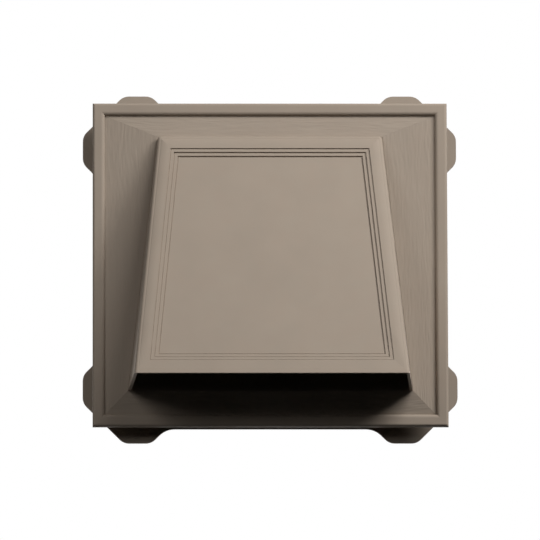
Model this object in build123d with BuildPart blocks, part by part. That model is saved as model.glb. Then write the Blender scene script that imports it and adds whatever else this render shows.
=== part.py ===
from build123d import *

import os
from math import atan2, cos, hypot, radians, sin, tan

# Hooded wall vent: a nailed mounting base, a clip-on hooded cover and a hanging damper flap.
# Sizes are millimetres. The wall is the plane Y = 0, the front faces -Y and +Z is up.
# A depth is a distance ahead of the wall. The origin is on the duct's axis, at the wall.

# Cover: frame, bead and panel
border_beside_hood = 31.3
border_above_hood = 30.6
border_below_hood = 31.7
rim_front_depth = 26.0
rim_wall_height = 6.0
bead_width = 10.8
bead_outer_round = 2.2
bead_inner_round = 3.4
panel_edge_depth = 22.2
panel_rise = 3.3
cover_wall = 2.5

# Cover: hood
hood_height = 226.3
hood_top_width = 197.0
hood_foot_width = 248.8
hood_projection = 87.0
hood_top_step = 5.0
hood_draft = 3.35
hood_edge_round = 3.0
opening_ledge = 0.6

# Cover: stepped recess in the hood's face
recess_side_inset = 12.1
recess_top_inset = 13.0
recess_bottom_inset = 12.9
recess_steps = 3
recess_tread = 3.36
recess_riser = 0.82

# Base: flange with nailing ears
base_width = 328.8
base_height = 310.4
base_thickness = 2.5
corner_cut = 35.8
ear_length = 24.4
ear_reach = 12.6
ear_round = 11.8
ear_root_round = 19.0
slot_length = 20.0
slot_width = 5.0
slot_edge_distance = 17.0

# Base: box wall that the cladding butts against
cladding_cover = 20.0
box_wall = 2.5
box_corner_round = 6.0
box_front_gap = 0.35

# Base: duct collar and damper seat
collar_radius = 75.5
collar_wall = 2.5
collar_length = 50.0
collar_lead_in = 1.0
seat_width = 3.5
seat_height = 4.0

# Snap legs on the cover and their windows in the box wall
leg_spacing = 120.0
leg_width = 18.0
leg_thickness = 2.0
leg_gap = 0.4
leg_tip_depth = 5.5
hook_depth = 12.0
hook_reach = 1.8
hook_land = 1.0
window_gap = 0.3

# Damper flap and its hinge
flap_overlap = 6.0
flap_thickness = 1.8
flap_gap = 0.3
flap_lip_width = 2.0
flap_lip_height = 2.2
flap_rib_spacing = 60.0
hinge_above_seat = 7.5
barrel_radius = 2.6
pin_radius = 2.0
pin_clearance = 0.06
pin_end = 1.0
lug_thickness = 4.0
lug_rim = 2.4
lug_side_play = 0.6
lug_mouth_share = 0.8

# Places that follow from the sizes above
frame_width = hood_foot_width + 2 * border_beside_hood
frame_height = hood_height + border_above_hood + border_below_hood
field_width = frame_width - 2 * bead_width
field_height = frame_height - 2 * bead_width
panel_top_depth = panel_edge_depth + panel_rise
rim_back_depth = rim_front_depth - rim_wall_height

hood_foot = border_below_hood - frame_height / 2
hood_top = hood_foot + hood_height
draft_per_mm = tan(radians(hood_draft))
lip_half = hood_foot_width / 2 - hood_projection * draft_per_mm
face_top_half = hood_top_width / 2 - hood_top_step * draft_per_mm
face_run = hood_projection - hood_top_step
face_length = hypot(hood_height, face_run)
face_slope = atan2(face_run, hood_height)
recess_depth = recess_steps * recess_riser

box_width = frame_width - 2 * cladding_cover
box_height = frame_height - 2 * cladding_cover

bore_radius = collar_radius - collar_wall
seat_radius = bore_radius + seat_width
seat_depth = base_thickness + seat_height
flap_back_depth = seat_depth + flap_gap
flap_radius = bore_radius + flap_overlap
hinge_depth = flap_back_depth + flap_thickness / 2
hinge_z = seat_radius + hinge_above_seat
lug_inner = flap_radius + lug_side_play
lug_radius = pin_radius + pin_clearance + lug_rim


def upright(depth, foot=0.0):
    """Plane parallel to the wall, seen from the front: x is +X and y is +Z."""
    return Plane(origin=(0, -depth, foot), x_dir=(1, 0, 0), z_dir=(0, -1, 0))


def tapered(low_half, high_half, height, side=0.0, bottom=0.0, top=0.0):
    """Corners of a trapezium that stands on y = 0, set in from its edges."""
    lean = atan2(low_half - high_half, height)

    def half(y):
        return low_half - y * tan(lean) - side / cos(lean)

    low, high = bottom, height - top
    return [(-half(low), low), (half(low), low), (half(high), high), (-half(high), high)]


def recess_outline(extra):
    """Corners of the recess on the hood's sloping face, set further in by the extra."""
    return tapered(
        lip_half,
        face_top_half,
        face_length,
        side=recess_side_inset + extra,
        bottom=recess_bottom_inset + extra,
        top=recess_top_inset + extra,
    )


def panel_depth_above(z):
    """Depth of the panel's front on the middle of the top or bottom strip."""
    strip_width = field_height / 2 - (hood_top if z > 0 else -hood_foot)
    return panel_edge_depth + panel_rise * (field_height / 2 - abs(z)) / strip_width


def panel_depth_beside(x, z):
    """Depth of the panel's front on a side strip."""
    narrowing = (hood_foot_width - hood_top_width) * (z - hood_foot) / hood_height
    hood_half = (hood_foot_width - narrowing) / 2
    share = (field_width / 2 - abs(x)) / (field_width / 2 - hood_half)
    return panel_edge_depth + panel_rise * share


# The box wall stops just behind the panel's back, which is lowest beside the top of the hood
box_front_depth = panel_depth_beside(box_width / 2, box_height / 2) - cover_wall - box_front_gap

# Each snap leg has a plane with x pointing outwards, y ahead and its origin on the leg's outer face
leg_inset = box_wall + leg_gap
leg_x = box_width / 2 - leg_inset
leg_z = box_height / 2 - leg_inset
leg_places = (-leg_spacing / 2, leg_spacing / 2)
rows = [
    Plane(origin=(place, 0, side * leg_z), x_dir=(0, 0, side), z_dir=(side, 0, 0))
    for place in leg_places
    for side in (-1, 1)
]
columns = [
    Plane(origin=(side * leg_x, 0, place), x_dir=(side, 0, 0), z_dir=(0, 0, -side))
    for place in leg_places
    for side in (-1, 1)
]
leg_root_depth = min(panel_depth_above(side * leg_z) for side in (-1, 1)) - cover_wall / 2
column_root_depths = [panel_depth_beside(leg_x, column.origin.Z) - cover_wall / 2 for column in columns]


def leg_profile(root_depth):
    """Side view of a snap leg, from its root in the panel to its tapered hook."""
    return [
        (-leg_thickness, root_depth),
        (0, root_depth),
        (0, hook_depth),
        (hook_reach, hook_depth),
        (hook_reach, hook_depth - hook_land),
        (0, leg_tip_depth),
        (-leg_thickness, leg_tip_depth),
    ]


def base_outline():
    """Corners of the flange: cut corners, two ears on each side and a straight edge between them."""
    half_x, half_z = base_width / 2, base_height / 2
    quarter = [
        (half_x - ear_reach, half_z - corner_cut - ear_length - ear_reach),
        (half_x, half_z - corner_cut - ear_length),
        (half_x, half_z - corner_cut),
        (half_x - corner_cut, half_z),
        (half_x - corner_cut - ear_length, half_z),
        (half_x - corner_cut - ear_length - ear_reach, half_z - ear_reach),
    ]
    right = [(x, -z) for x, z in reversed(quarter)] + quarter
    left = [(-x, -z) for x, z in right]
    return right + left


def on_ear(vertex):
    """True for the corners of the ears, which lie on the flange's largest rectangle."""
    across = abs(abs(vertex.X) - base_width / 2)
    upward = abs(abs(vertex.Y) - base_height / 2)
    return min(across, upward) < ear_reach / 2


with BuildPart() as mounting_base:
    # Flange, rounded in and out of each ear
    with BuildSketch(upright(0)) as flange:
        Polygon(*base_outline())
        fillet(flange.vertices().filter_by(lambda v: not on_ear(v)), ear_root_round)
        fillet(flange.vertices().filter_by(on_ear), ear_round)
    extrude(amount=base_thickness)

    # Nail slots in the ears, behind the cover's frame
    ear_middle_x = base_width / 2 - corner_cut - ear_length / 2
    ear_middle_z = base_height / 2 - corner_cut - ear_length / 2
    slot_row_z = base_height / 2 - slot_edge_distance
    slot_column_x = base_width / 2 - slot_edge_distance
    with BuildSketch(upright(0)):
        with GridLocations(2 * ear_middle_x, 2 * slot_row_z, 2, 2):
            SlotOverall(slot_length, slot_width)
        with GridLocations(2 * slot_column_x, 2 * ear_middle_z, 2, 2):
            SlotOverall(slot_length, slot_width, rotation=90)
    extrude(amount=base_thickness, mode=Mode.SUBTRACT)

    # Box wall
    with BuildSketch(upright(base_thickness)):
        RectangleRounded(box_width, box_height, box_corner_round)
        RectangleRounded(
            box_width - 2 * box_wall,
            box_height - 2 * box_wall,
            box_corner_round - box_wall,
            mode=Mode.SUBTRACT,
        )
    extrude(amount=box_front_depth - base_thickness)

    # Duct collar behind the wall, damper seat ahead of it, bored through
    with BuildSketch(upright(0)):
        Circle(collar_radius)
    extrude(amount=-collar_length)
    collar_end = faces().sort_by(Axis.Y)[-1]
    chamfer(collar_end.edges(), collar_lead_in)
    with BuildSketch(upright(base_thickness)):
        Circle(seat_radius)
    extrude(amount=seat_height)
    with BuildSketch(upright(-collar_length)):
        Circle(bore_radius)
    extrude(amount=collar_length + seat_depth, mode=Mode.SUBTRACT)

    # Hinge lugs, bored for the flap's pins, with a narrower mouth that the pins snap through
    lug_planes = [Plane.YZ.offset(lug_inner), Plane.YZ.offset(-lug_inner - lug_thickness)]
    with BuildSketch(*lug_planes):
        with Locations((-hinge_depth, hinge_z)):
            Circle(lug_radius)
        with Locations(((-hinge_depth - base_thickness) / 2, hinge_z)):
            Rectangle(hinge_depth - base_thickness, 2 * lug_radius)
        with Locations((-hinge_depth, hinge_z)):
            Circle(pin_radius + pin_clearance, mode=Mode.SUBTRACT)
            Rectangle(
                2 * lug_radius,
                2 * pin_radius * lug_mouth_share,
                align=(Align.MAX, Align.CENTER),
                mode=Mode.SUBTRACT,
            )
    extrude(amount=lug_thickness)

    # Windows that hold the hooks of the snap legs
    with BuildSketch(*rows, *columns):
        Polygon(
            (leg_gap / 2, leg_tip_depth),
            (leg_inset + box_wall, leg_tip_depth),
            (leg_inset + box_wall, hook_depth + window_gap),
            (leg_gap / 2, hook_depth + window_gap),
        )
    extrude(amount=leg_width / 2 + window_gap, both=True, mode=Mode.SUBTRACT)


with BuildPart() as hood_cover:
    # Hood: a wedge that leans out from its top, cut to its drafted sides and rounded but for its lip
    with BuildSketch(Plane.YZ):
        Polygon(
            (-panel_top_depth, hood_foot),
            (-panel_top_depth - hood_projection, hood_foot),
            (-panel_top_depth - hood_top_step, hood_top),
            (-panel_top_depth, hood_top),
        )
    extrude(amount=hood_foot_width / 2, both=True)
    up_the_foot = Vector((hood_top_width - hood_foot_width) / 2, 0, hood_height)
    out_to_the_lip = Vector(lip_half - hood_foot_width / 2, -hood_projection, 0)
    side_normal = up_the_foot.cross(out_to_the_lip)
    for hand in (-1, 1):
        foot_corner = (hand * hood_foot_width / 2, -panel_top_depth, hood_foot)
        outwards = (hand * side_normal.X, side_normal.Y, side_normal.Z)
        split(bisect_by=Plane(origin=foot_corner, z_dir=outwards), keep=Keep.BOTTOM)
    hood_face = faces().sort_by(Axis.Y)[0]
    hood_roof = faces().sort_by(Axis.Z)[-1]
    top_corners = hood_roof.edges().filter_by(Axis.X, reverse=True)
    fillet(hood_face.edges().sort_by(Axis.Z)[1:] + top_corners, hood_edge_round)

    # It is a thin shell, open at the back and underneath
    offset(amount=-cover_wall, openings=[faces().sort_by(Axis.Y)[-1], faces().sort_by(Axis.Z)[0]])

    # Stepped recess in the face, which the inside follows
    face_plane = Plane(
        origin=(0, -panel_top_depth - hood_projection, hood_foot),
        x_dir=(1, 0, 0),
        z_dir=(0, -cos(face_slope), sin(face_slope)),
    )
    with BuildSketch(face_plane.offset(-cover_wall / 2)):
        Polygon(*recess_outline(-cover_wall))
    extrude(amount=-cover_wall / 2 - recess_depth)
    for step in range(recess_steps):
        with BuildSketch(face_plane):
            Polygon(*recess_outline(step * recess_tread))
        extrude(amount=-(step + 1) * recess_riser, mode=Mode.SUBTRACT)

    # Rim: a bead with a small round outside and a large one inside, hollow behind
    with BuildSketch(upright(rim_back_depth)):
        Rectangle(frame_width, frame_height)
        Rectangle(field_width, field_height, mode=Mode.SUBTRACT)
    extrude(amount=rim_wall_height)
    crown = faces(Select.LAST).sort_by(Axis.Y)[0]
    fillet(crown.inner_wires()[0].edges(), bead_inner_round)
    crown = faces(Select.LAST).filter_by(Axis.Y).sort_by(Axis.Y)[0]
    fillet(crown.outer_wire().edges(), bead_outer_round)
    with BuildSketch(upright(rim_back_depth)):
        Rectangle(frame_width - 2 * cover_wall, frame_height - 2 * cover_wall)
        Rectangle(field_width + 2 * cover_wall, field_height + 2 * cover_wall, mode=Mode.SUBTRACT)
    extrude(amount=rim_wall_height - cover_wall, mode=Mode.SUBTRACT)

    # Panel: four mitred strips that rise from the bead to the foot of the hood
    panel_back_depth = panel_edge_depth - cover_wall
    with BuildSketch(upright(panel_back_depth)):
        Rectangle(field_width, field_height)
    extrude(amount=cover_wall)
    for start, mode in ((panel_edge_depth, Mode.ADD), (panel_back_depth, Mode.SUBTRACT)):
        with BuildSketch(upright(start, -field_height / 2)):
            Polygon(*tapered(field_width / 2, field_width / 2, field_height))
        with BuildSketch(upright(start + panel_rise, hood_foot)):
            Polygon(*tapered(hood_foot_width / 2, hood_top_width / 2, hood_height))
        loft(ruled=True, mode=mode)

    # Opening from the hood to the duct
    with BuildSketch(upright(panel_top_depth, hood_foot)):
        Polygon(
            *tapered(
                hood_foot_width / 2,
                hood_top_width / 2,
                hood_height,
                side=cover_wall + opening_ledge,
                bottom=cover_wall,
                top=cover_wall + opening_ledge,
            )
        )
    extrude(amount=-cover_wall - panel_rise, mode=Mode.SUBTRACT)

    # Snap legs
    with BuildSketch(*rows):
        Polygon(*leg_profile(leg_root_depth))
    extrude(amount=leg_width / 2, both=True)
    for column, root_depth in zip(columns, column_root_depths):
        with BuildSketch(column):
            Polygon(*leg_profile(root_depth))
        extrude(amount=leg_width / 2, both=True)


with BuildPart() as damper_flap:
    # Plate: round below to cover the seat, straight above to meet the hinge
    with BuildSketch(upright(flap_back_depth)) as flap_plate:
        Circle(flap_radius)
        with Locations((0, hinge_z / 2)):
            Rectangle(2 * flap_radius, hinge_z)
    extrude(amount=flap_thickness)

    # Lip round the edge and two ribs stiffen the front, and their weight holds the flap shut
    with BuildSketch(upright(flap_back_depth + flap_thickness)):
        add(flap_plate.sketch_local)
        offset(amount=-flap_lip_width, mode=Mode.SUBTRACT)
        with Locations((-flap_rib_spacing / 2, 0), (flap_rib_spacing / 2, 0)):
            Rectangle(flap_lip_width, 2 * (flap_radius - flap_lip_width))
    extrude(amount=flap_lip_height)

    # Hinge barrel along the top edge, with a stub pin at each end
    with BuildSketch(Plane.YZ.offset(-flap_radius)):
        with Locations((-hinge_depth, hinge_z)):
            Circle(barrel_radius)
    extrude(amount=2 * flap_radius)
    pin_half = lug_inner + lug_thickness + pin_end
    with BuildSketch(Plane.YZ.offset(-pin_half)):
        with Locations((-hinge_depth, hinge_z)):
            Circle(pin_radius)
    extrude(amount=2 * pin_half)


os.makedirs("parts", exist_ok=True)
mounting_base.part.label = "mounting_base"
export_step(mounting_base.part, "parts/mounting_base.step")
hood_cover.part.label = "hood_cover"
export_step(hood_cover.part, "parts/hood_cover.step")
damper_flap.part.label = "damper_flap"
export_step(damper_flap.part, "parts/damper_flap.step")
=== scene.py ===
"""Looks of the hooded wall vent: moulded plastic, embossed wood grain, studio light and camera."""
from math import atan2, cos, radians, sin, tan

import bmesh
import bpy
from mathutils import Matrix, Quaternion, Vector, noise


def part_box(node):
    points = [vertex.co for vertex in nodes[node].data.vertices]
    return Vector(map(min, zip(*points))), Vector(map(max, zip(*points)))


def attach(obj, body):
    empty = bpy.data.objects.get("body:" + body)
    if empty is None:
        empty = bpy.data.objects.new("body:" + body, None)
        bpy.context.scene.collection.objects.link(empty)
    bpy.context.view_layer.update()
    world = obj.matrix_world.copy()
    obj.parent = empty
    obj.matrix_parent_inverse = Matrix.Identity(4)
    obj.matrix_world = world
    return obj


MM = 0.001

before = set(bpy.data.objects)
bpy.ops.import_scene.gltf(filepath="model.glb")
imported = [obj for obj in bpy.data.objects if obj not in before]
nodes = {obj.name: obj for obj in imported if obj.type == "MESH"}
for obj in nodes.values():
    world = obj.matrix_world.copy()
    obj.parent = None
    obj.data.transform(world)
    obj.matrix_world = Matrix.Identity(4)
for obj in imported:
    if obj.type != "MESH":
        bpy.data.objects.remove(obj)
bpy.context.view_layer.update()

# Panel of the cover, as the CAD has it: four strips from the bead in to the foot of the hood
cover_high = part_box("hood_cover")[1]
BEAD_WIDTH = 10.8 * MM
FIELD_HALF_X = cover_high.x - BEAD_WIDTH
FIELD_HALF_Z = cover_high.z - BEAD_WIDTH
FIELD_DEPTH = 22.2 * MM
HOOD_DEPTH = 25.5 * MM
HOOD_TOP_Z = 113.7 * MM
HOOD_FOOT_Z = -112.6 * MM
HOOD_TOP_HALF_X = 98.5 * MM
HOOD_FOOT_HALF_X = 124.4 * MM
RIM_FRONT_DEPTH = 26.0 * MM

# Embossed grain: a thin skin on each strip
SKIN_LIFT = 0.14 * MM
SKIN_SINK = 0.3 * MM
SKIN_EDGE_GAP = 0.05 * MM
SKIN_HOOD_GAP = 0.35 * MM
GRAIN_STEP_ACROSS = 0.4 * MM
GRAIN_STEP_ALONG = 1.6 * MM
GRAIN_PITCH = 1.9 * MM
GRAIN_RUN = 13.0 * MM
GRAIN_WAVE_RUN = 40.0 * MM
GRAIN_WAVE = 2.6 * MM
GRAIN_HEIGHT = 0.16 * MM
GRAIN_COARSE = 0.75
GRAIN_FINE = 0.3
GRAIN_FINE_RUN = 0.6 * GRAIN_RUN
GRAIN_FINE_LINES = 2.1
GRAIN_WAVE_PITCH = 6 * GRAIN_PITCH
GRAIN_SEED_STEP = 10.0
COARSE_SEED = 7.3
FINE_SEED = 13.9

# Stepped recess in the hood's face, as the CAD has it, and the fine groove at the foot of each step
LIP_DEPTH = 112.5 * MM
FACE_TOP_DEPTH = 30.5 * MM
LIP_HALF_X = 119.31 * MM
FACE_TOP_HALF_X = 98.21 * MM
RECESS_SIDE_INSET = 12.1 * MM
RECESS_TOP_INSET = 13.0 * MM
RECESS_BOTTOM_INSET = 12.9 * MM
RECESS_STEPS = 3
RECESS_TREAD = 3.36 * MM
RECESS_RISER = 0.82 * MM
GROOVE_WIDTH = 0.55 * MM
GROOVE_DEPTH_FIRST = 0.2 * MM
GROOVE_DEPTH_GAIN = 0.06 * MM
TREAD_EDGE_BEVEL = 0.12 * MM
TREAD_SINK = 0.1 * MM

# Crowned border of the hood's face, which rises from the rounded edges and deepens each step.
# It fades out towards the lip.
CROWN_START = 2.6 * MM
CROWN_GAIN = 0.36 * MM
CROWN_SHARE = 0.75
CROWN_LOOPS = 8
CROWN_FADE = 26.0 * MM
CROWN_LEAST = 0.05 * MM
WALL_LEAN = 0.02 * MM

# Colours, in linear light
CLAY = (0.343, 0.2855, 0.23)
# Darker copy of the same clay for the damper flap: painted shade for the flap deep in the hood's shaded
# mouth
CLAY_IN_PAINTED_SHADE = (0.316, 0.262, 0.209)
FLOOR_COLOUR = (0.82, 0.82, 0.82)
WHITE = (1.0, 1.0, 1.0, 1.0)

# Moulded plastic: textures per metre, and how far each one moves the colour
BLOTCH_SCALE = 26.0
BLOTCH_TINTS = (0.97, 1.03)
WARM_SCALE = 60.0
WARM_TINT = (1.03, 0.985, 0.975)
WARM_SHARE = 0.35
SPECK_SCALE = 900.0
SPECK_STRENGTH = 0.35
SPECK_HEIGHT = 0.06 * MM
STREAKS_ALONG = 14.0
STREAKS_ACROSS = 420.0
STREAK_TINT = 0.9
STREAK_SHARE = 0.35
STREAK_HEIGHT = 0.04 * MM
ROUGHNESS_LOW = 0.5
ROUGHNESS_HIGH = 0.6
PLASTIC_IOR = 1.46
PLASTIC_SPECULAR = 0.08

# Camera: below the vent and a little to its left, far away as with a long lens
VIEW_DISTANCE = 9.0
VIEW_ELEVATION = radians(-11.0)
VIEW_AZIMUTH = radians(-0.9)
VIEW_ROLL = radians(0.17)
PICTURE_PIXELS = 540
PIXEL_SIZE = 0.8768 * MM
PICTURE_WIDTH = PICTURE_PIXELS * PIXEL_SIZE
AIM_BELOW_CENTRE = 5.1 * MM
AIM_LEFT_OF_CENTRE = 0.2 * MM
SENSOR_WIDTH = 36.0
CLIP_END = 100.0

# Soft boxes round the vent: degrees to the right, degrees up and power in watts
LIGHT_DISTANCE = 1.8
LIGHT_SIZE = 0.7
LIGHTS = (
    ("right_key", 55, 33, 25.0),
    ("high_key", 27, 40, 12.6),
    ("left_fill", -30, 16, 6.2),
    ("back_key", 150, 30, 14.0),
    ("back_fill", -140, -10, 9.0),
)
SKY_STRENGTH = 0.01
SKY_FROM = 0.4
GROUND_STRENGTH = 0.0
GROUND_FROM = -0.1

# Floor, well below the camera's line of sight
FLOOR_DROP = 2.3
FLOOR_RADIUS = 1.6
FLOOR_SIDES = 96
FLOOR_CLOUD_SCALE = 1.5
FLOOR_TINTS = (0.99, 1.01)
FLOOR_ROUGHNESS = 0.9
FLOOR_GLOW = 0.75


def add_node(tree, kind, **settings):
    """A shader node with its own settings and, by socket name, its values."""
    node = tree.nodes.new(kind)
    for name, value in settings.items():
        if hasattr(node, name):
            setattr(node, name, value)
        else:
            node.inputs[name].default_value = value
    return node


def tint(colour, factor):
    """The colour made lighter or darker, as RGBA."""
    return tuple(channel * factor for channel in colour) + (1.0,)


def noise_factor(tree, vector, scale, detail=3.0, roughness=0.55):
    """Factor output of a noise texture over the vector."""
    node = add_node(tree, "ShaderNodeTexNoise", Scale=scale, Detail=detail, Roughness=roughness)
    tree.links.new(vector, node.inputs["Vector"])
    return node.outputs["Fac"]


def stretched(tree, vector, scale):
    """The vector scaled by axis, so that a texture runs along one of them."""
    node = add_node(tree, "ShaderNodeMapping", Scale=scale)
    tree.links.new(vector, node.inputs["Vector"])
    return node.outputs["Vector"]


def mix_colours(tree, factor, first, second):
    """Colour output that goes from the first colour to the second, each RGBA or a socket."""
    node = add_node(tree, "ShaderNodeMix", data_type="RGBA")
    tree.links.new(factor, node.inputs["Factor"])
    for name, value in (("A", first), ("B", second)):
        socket = next(s for s in node.inputs if s.name == name and s.type == "RGBA")
        if isinstance(value, bpy.types.NodeSocket):
            tree.links.new(value, socket)
        else:
            socket.default_value = value
    return next(s for s in node.outputs if s.type == "RGBA")


def map_range(tree, value, low, high):
    """The value, from about 0.3 to 0.7 as noise gives it, taken to the range."""
    node = add_node(tree, "ShaderNodeMapRange")
    tree.links.new(value, node.inputs["Value"])
    for name, number in (("From Min", 0.3), ("From Max", 0.7), ("To Min", low), ("To Max", high)):
        node.inputs[name].default_value = number
    return node.outputs["Result"]


def moulded_plastic(name, colour, streak_scale=None):
    """Satin plastic with soft blotches, a fine moulded texture and, where asked, streaks along the grain."""
    material = bpy.data.materials.new(name)
    material.use_nodes = True
    tree = material.node_tree
    shader = tree.nodes["Principled BSDF"]
    place = tree.nodes.new("ShaderNodeTexCoord").outputs["Object"]

    # Colour: lighter and darker blotches, some of them warmer
    blotches = noise_factor(tree, place, scale=BLOTCH_SCALE, detail=2.0)
    specks = noise_factor(tree, place, scale=SPECK_SCALE, detail=2.0)
    dark, light = (tint(colour, factor) for factor in BLOTCH_TINTS)
    shade = mix_colours(tree, map_range(tree, blotches, 0.0, 1.0), dark, light)
    warm = tuple(channel * factor for channel, factor in zip(colour, WARM_TINT)) + (1.0,)
    warmth = map_range(tree, noise_factor(tree, place, scale=WARM_SCALE, detail=2.0), 0.0, WARM_SHARE)
    shade = mix_colours(tree, warmth, shade, warm)

    # Surface: fine specks over the streaks of the grain
    bump = add_node(tree, "ShaderNodeBump", Strength=SPECK_STRENGTH, Distance=SPECK_HEIGHT)
    tree.links.new(specks, bump.inputs["Height"])
    if streak_scale is not None:
        streaks = noise_factor(tree, stretched(tree, place, streak_scale), scale=1.0, detail=3.0)
        streak_share = map_range(tree, streaks, 0.0, STREAK_SHARE)
        shade = mix_colours(tree, streak_share, shade, tint(colour, STREAK_TINT))
        ridge = add_node(tree, "ShaderNodeBump", Strength=1.0, Distance=STREAK_HEIGHT)
        tree.links.new(streaks, ridge.inputs["Height"])
        tree.links.new(ridge.outputs["Normal"], bump.inputs["Normal"])

    tree.links.new(shade, shader.inputs["Base Color"])
    roughness = map_range(tree, blotches, ROUGHNESS_LOW, ROUGHNESS_HIGH)
    tree.links.new(roughness, shader.inputs["Roughness"])
    tree.links.new(bump.outputs["Normal"], shader.inputs["Normal"])
    shader.inputs["IOR"].default_value = PLASTIC_IOR
    shader.inputs["Specular IOR Level"].default_value = PLASTIC_SPECULAR
    return material


def add_skin(name, points, faces, material):
    """Thin closed piece on the cover, which rides with the housing."""
    mesh = bpy.data.meshes.new(name)
    mesh.from_pydata(points, [], faces)
    form = bmesh.new()
    form.from_mesh(mesh)
    bmesh.ops.recalc_face_normals(form, faces=form.faces)
    form.to_mesh(mesh)
    form.free()
    mesh.materials.append(material)
    skin = bpy.data.objects.new(name, mesh)
    bpy.context.scene.collection.objects.link(skin)
    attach(skin, "housing")


def grain_height(along, across, seed):
    """Height of the embossed grain, 0 to 1: long wavy ridges that merge and part."""
    wave = noise.noise(Vector((along / GRAIN_WAVE_RUN, across / GRAIN_WAVE_PITCH, seed)))
    line = (across + GRAIN_WAVE * wave) / GRAIN_PITCH
    coarse = noise.noise(Vector((along / GRAIN_RUN, line, seed + COARSE_SEED)))
    fine = noise.noise(Vector((along / GRAIN_FINE_RUN, GRAIN_FINE_LINES * line, seed + FINE_SEED)))
    return min(1.0, max(0.0, 0.5 + GRAIN_COARSE * coarse + GRAIN_FINE * fine))


def grain_strip(name, corners, upright, material):
    """Skin over one mitred strip of the panel: bead start, bead end, hood end and hood start."""
    bead_start, bead_end, hood_end, hood_start = (Vector(corner) for corner in corners)
    length = max((bead_end - bead_start).length, (hood_end - hood_start).length)
    width = (hood_start.lerp(hood_end, 0.5) - bead_start.lerp(bead_end, 0.5)).length
    columns = round(length / GRAIN_STEP_ALONG)
    rows = round(width / GRAIN_STEP_ACROSS)
    outwards = (bead_end - bead_start).cross(hood_start - bead_start).normalized()
    if outwards.y > 0:
        outwards.negate()
    seed = GRAIN_SEED_STEP * (len(bpy.data.meshes) + 1)

    front, back = [], []
    for row in range(rows + 1):
        share = row / rows
        start = bead_start.lerp(hood_start, share)
        end = bead_end.lerp(hood_end, share)
        for column in range(columns + 1):
            point = start.lerp(end, column / columns)
            along, across = (point.z, point.x) if upright else (point.x, point.z)
            lift = SKIN_LIFT + GRAIN_HEIGHT * grain_height(along, across, seed)
            front.append(point + outwards * lift)
            back.append(point - outwards * SKIN_SINK)

    stride = columns + 1
    total = len(front)
    faces = []
    for row in range(rows):
        for column in range(columns):
            at = row * stride + column
            quad = (at, at + 1, at + stride + 1, at + stride)
            faces.append(quad)
            faces.append(tuple(total + index for index in reversed(quad)))
    rim = list(range(columns))
    rim += [row * stride + columns for row in range(rows)]
    rim += [rows * stride + column for column in range(columns, 0, -1)]
    rim += [row * stride for row in range(rows, 0, -1)]
    for first, second in zip(rim, rim[1:] + rim[:1]):
        faces.append((second, first, total + first, total + second))

    add_skin(name, front + back, faces, material)


def dress_panel():
    """Grain skins on the four strips of the cover's panel."""
    along_x = (STREAKS_ALONG, STREAKS_ACROSS, STREAKS_ACROSS)
    along_z = (STREAKS_ACROSS, STREAKS_ACROSS, STREAKS_ALONG)
    level = moulded_plastic("grain_level", CLAY, along_x)
    upright = moulded_plastic("grain_upright", CLAY, along_z)

    def bead_corner(side_x, side_z):
        x = side_x * (FIELD_HALF_X - SKIN_EDGE_GAP)
        z = side_z * (FIELD_HALF_Z - SKIN_EDGE_GAP)
        return (x, -FIELD_DEPTH, z)

    def hood_corner(side_x, side_z):
        half, z = (HOOD_TOP_HALF_X, HOOD_TOP_Z) if side_z > 0 else (HOOD_FOOT_HALF_X, HOOD_FOOT_Z)
        return (side_x * (half + SKIN_HOOD_GAP), -HOOD_DEPTH, z + side_z * SKIN_HOOD_GAP)

    for name, side in (("grain_top", 1), ("grain_bottom", -1)):
        corners = (bead_corner(-1, side), bead_corner(1, side), hood_corner(1, side), hood_corner(-1, side))
        grain_strip(name, corners, False, level)
    for name, side in (("grain_right", 1), ("grain_left", -1)):
        corners = (bead_corner(side, -1), bead_corner(side, 1), hood_corner(side, 1), hood_corner(side, -1))
        grain_strip(name, corners, True, upright)


def face_loop(side_inset, top_inset, bottom_inset, out, low_out):
    """Six points on the hood's face, set in from its edges and moved out, less so at the two lowest."""
    rise = HOOD_TOP_Z - HOOD_FOOT_Z
    run = LIP_DEPTH - FACE_TOP_DEPTH
    up_the_face = Vector((0, run, rise))
    length = up_the_face.length
    lean = atan2(LIP_HALF_X - FACE_TOP_HALF_X, length)
    outwards = Vector((0, -rise, run)) / length
    low, high = bottom_inset, length - top_inset
    faded = low + CROWN_FADE
    loop = []
    right = [(1, low, low_out), (1, faded, out), (1, high, out)]
    left = [(-1, along, lift) for _, along, lift in reversed(right)]
    for side, along, lift in left[-1:] + right + left[:-1]:
        half = LIP_HALF_X - along * tan(lean) - side_inset / cos(lean)
        place = Vector((side * half, -LIP_DEPTH, HOOD_FOOT_Z))
        loop.append(place + up_the_face * (along / length) + outwards * lift)
    return loop


def recess_loop(inset, out, low_out):
    """Points round the recess, set in by the inset and moved out of the face."""
    insets = (edge + inset for edge in (RECESS_SIDE_INSET, RECESS_TOP_INSET, RECESS_BOTTOM_INSET))
    return face_loop(*insets, out, low_out)


def skin_of_loops(name, loops, is_ring, material):
    """Skin through loops of points: a ring that meets itself, or a plate with both ends capped."""
    faces = []
    count = len(loops)
    size = len(loops[0])
    for at in range(count if is_ring else count - 1):
        here, ahead = size * at, size * ((at + 1) % count)
        for corner in range(size):
            beside = (corner + 1) % size
            faces.append((here + corner, here + beside, ahead + beside, ahead + corner))
    if not is_ring:
        faces.append(tuple(reversed(range(size))))
        faces.append(tuple(range(size * (count - 1), size * count)))
    add_skin(name, [point for loop in loops for point in loop], faces, material)


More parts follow.
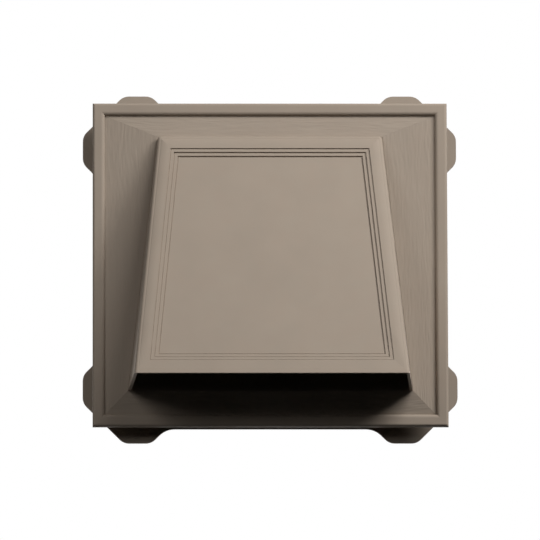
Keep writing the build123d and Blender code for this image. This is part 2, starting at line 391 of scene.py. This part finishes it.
def border_skin(name, material):
    """Crowned skin on the face's border, from the hood's rounded edges to the recess."""
    loops = [face_loop(CROWN_START, CROWN_START, CROWN_START, -TREAD_SINK, -TREAD_SINK)]
    for at in range(1, CROWN_LOOPS + 1):
        share = at / CROWN_LOOPS
        edges = (RECESS_SIDE_INSET, RECESS_TOP_INSET, RECESS_BOTTOM_INSET)
        insets = (CROWN_START + share * (edge - CROWN_START) for edge in edges)
        fall = max(0.0, 1 - share / CROWN_SHARE)
        lift = CROWN_LEAST + RECESS_STEPS * CROWN_GAIN * (1 - fall**2)
        loops.append(face_loop(*insets, lift, CROWN_LEAST))
    loops.append(recess_loop(-WALL_LEAN, -TREAD_SINK, -TREAD_SINK))
    skin_of_loops(name, loops, True, material)


def recess_skin(name, step, material):
    """Thin skin on one tread of the recess, or on its field, that leaves a groove at the riser's foot."""
    is_field = step == RECESS_STEPS - 1
    level = -(step + 1) * RECESS_RISER
    sunk = level - TREAD_SINK
    riser = step * RECESS_TREAD
    groove = riser + GROOVE_WIDTH
    end = riser + RECESS_TREAD
    depth = GROOVE_DEPTH_FIRST + step * GROOVE_DEPTH_GAIN
    if is_field:
        loops = [recess_loop(groove, sunk, sunk), recess_loop(groove + depth, level + depth, level + depth)]
    else:
        low = level + CROWN_LEAST
        high = low + (RECESS_STEPS - 1 - step) * CROWN_GAIN
        bevel = TREAD_EDGE_BEVEL
        loops = [
            recess_loop(riser - WALL_LEAN, sunk, sunk),
            recess_loop(riser - WALL_LEAN, high, low),
            recess_loop(groove, high, low),
            recess_loop(groove + depth, high + depth, low + depth),
            recess_loop(end - bevel, high + depth, low + depth),
            recess_loop(end, high + depth - bevel, low + depth - bevel),
            recess_loop(end - WALL_LEAN, sunk, sunk),
        ]
    skin_of_loops(name, loops, not is_field, material)


def dress_face(material):
    """Skins on the border of the hood's face and on the recess's treads and field."""
    border_skin("face_border", material)
    for step in range(RECESS_STEPS):
        recess_skin(f"recess_step_{step + 1}", step, material)


def dress_nodes():
    """Procedural plastic on the carried-over CAD nodes."""
    dressed = {}
    # The damper flap takes the darker copy of the clay: painted shade, as the flap sits in the hood's shaded
    # mouth
    for name, colour in (("mounting_base", CLAY), ("hood_cover", CLAY), ("damper_flap", CLAY_IN_PAINTED_SHADE)):
        data = nodes[name].data
        data.materials.clear()
        dressed[name] = moulded_plastic(name + "_plastic", colour)
        data.materials.append(dressed[name])
    return dressed


def direction(right, up):
    """Direction from the vent, by the angle to the right of straight ahead and the angle up."""
    return Vector((sin(right) * cos(up), -cos(right) * cos(up), sin(up)))


def add_light(name, right, up, power):
    """Square area light that faces the vent."""
    lamp = bpy.data.lights.new(name, "AREA")
    lamp.shape = "SQUARE"
    lamp.size = LIGHT_SIZE
    lamp.energy = power
    place = direction(radians(right), radians(up)) * LIGHT_DISTANCE
    light = bpy.data.objects.new(name, lamp)
    light.location = place
    light.rotation_euler = place.to_track_quat("Z", "Y").to_euler()
    bpy.context.scene.collection.objects.link(light)


def build_world():
    """White for the eye and for reflections, and a dim light from above for everything else."""
    world = bpy.data.worlds.new("studio")
    world.use_nodes = True
    bpy.context.scene.world = world
    tree = world.node_tree
    dim = tree.nodes["Background"]
    dim.inputs["Color"].default_value = WHITE
    heading = tree.nodes.new("ShaderNodeTexCoord").outputs["Generated"]
    split = tree.nodes.new("ShaderNodeSeparateXYZ")
    tree.links.new(heading, split.inputs["Vector"])
    rise = tree.nodes.new("ShaderNodeMapRange")
    tree.links.new(split.outputs["Z"], rise.inputs["Value"])
    rise.inputs["From Min"].default_value = GROUND_FROM
    rise.inputs["From Max"].default_value = SKY_FROM
    rise.inputs["To Min"].default_value = GROUND_STRENGTH
    rise.inputs["To Max"].default_value = SKY_STRENGTH
    tree.links.new(rise.outputs["Result"], dim.inputs["Strength"])

    white = add_node(tree, "ShaderNodeBackground", Color=WHITE, Strength=1.0)
    path = tree.nodes.new("ShaderNodeLightPath")
    shown = path.outputs["Is Camera Ray"]
    for ray in ("Is Glossy Ray", "Is Transmission Ray"):
        either = add_node(tree, "ShaderNodeMath", operation="MAXIMUM")
        tree.links.new(shown, either.inputs[0])
        tree.links.new(path.outputs[ray], either.inputs[1])
        shown = either.outputs["Value"]
    mix = tree.nodes.new("ShaderNodeMixShader")
    tree.links.new(shown, mix.inputs["Fac"])
    tree.links.new(dim.outputs["Background"], mix.inputs[1])
    tree.links.new(white.outputs["Background"], mix.inputs[2])
    tree.links.new(mix.outputs["Shader"], tree.nodes["World Output"].inputs["Surface"])


def build_floor():
    """Round pale floor far below, clear from underneath, which bounces no light into the hood."""
    bpy.ops.mesh.primitive_circle_add(
        vertices=FLOOR_SIDES, radius=FLOOR_RADIUS, fill_type="NGON", location=(0, 0, -FLOOR_DROP)
    )
    floor = bpy.context.object
    floor.name = "floor"
    material = bpy.data.materials.new("pale_floor")
    material.use_nodes = True
    tree = material.node_tree
    shader = tree.nodes["Principled BSDF"]
    place = tree.nodes.new("ShaderNodeTexCoord").outputs["Object"]
    clouds = noise_factor(tree, place, scale=FLOOR_CLOUD_SCALE)
    dark, light = (tint(FLOOR_COLOUR, factor) for factor in FLOOR_TINTS)
    shade = mix_colours(tree, clouds, dark, light)
    tree.links.new(shade, shader.inputs["Base Color"])
    shader.inputs["Roughness"].default_value = FLOOR_ROUGHNESS
    glow = add_node(tree, "ShaderNodeMath", operation="MULTIPLY")
    glow.inputs[1].default_value = FLOOR_GLOW
    path = tree.nodes.new("ShaderNodeLightPath")
    tree.links.new(path.outputs["Is Camera Ray"], glow.inputs[0])
    tree.links.new(glow.outputs["Value"], shader.inputs["Emission Strength"])
    shader.inputs["Emission Color"].default_value = WHITE
    clear = tree.nodes.new("ShaderNodeBsdfTransparent")
    side = tree.nodes.new("ShaderNodeNewGeometry")
    mix = tree.nodes.new("ShaderNodeMixShader")
    tree.links.new(side.outputs["Backfacing"], mix.inputs["Fac"])
    tree.links.new(shader.outputs["BSDF"], mix.inputs[1])
    tree.links.new(clear.outputs["BSDF"], mix.inputs[2])
    tree.links.new(mix.outputs["Shader"], tree.nodes["Material Output"].inputs["Surface"])
    floor.data.materials.append(material)
    floor.visible_diffuse = False
    floor.visible_glossy = False


def build_camera():
    """Camera at the photograph's viewing angle."""
    out = direction(VIEW_AZIMUTH, VIEW_ELEVATION)
    turn = out.to_track_quat("Z", "Y")
    offset = turn @ Vector((AIM_LEFT_OF_CENTRE, AIM_BELOW_CENTRE, 0))
    aim = Vector((0, -RIM_FRONT_DEPTH, 0)) - offset
    lens = bpy.data.cameras.new("camera")
    lens.sensor_width = SENSOR_WIDTH
    lens.lens = SENSOR_WIDTH * VIEW_DISTANCE / PICTURE_WIDTH
    lens.clip_end = CLIP_END
    camera = bpy.data.objects.new("camera", lens)
    camera.location = aim + out * VIEW_DISTANCE
    camera.rotation_euler = (turn @ Quaternion((0, 0, 1), -VIEW_ROLL)).to_euler()
    bpy.context.scene.collection.objects.link(camera)
    bpy.context.scene.camera = camera


plastics = dress_nodes()
dress_panel()
dress_face(plastics["hood_cover"])
for light_settings in LIGHTS:
    add_light(*light_settings)
build_world()
build_floor()
build_camera()
bpy.context.scene.view_settings.view_transform = "Standard"
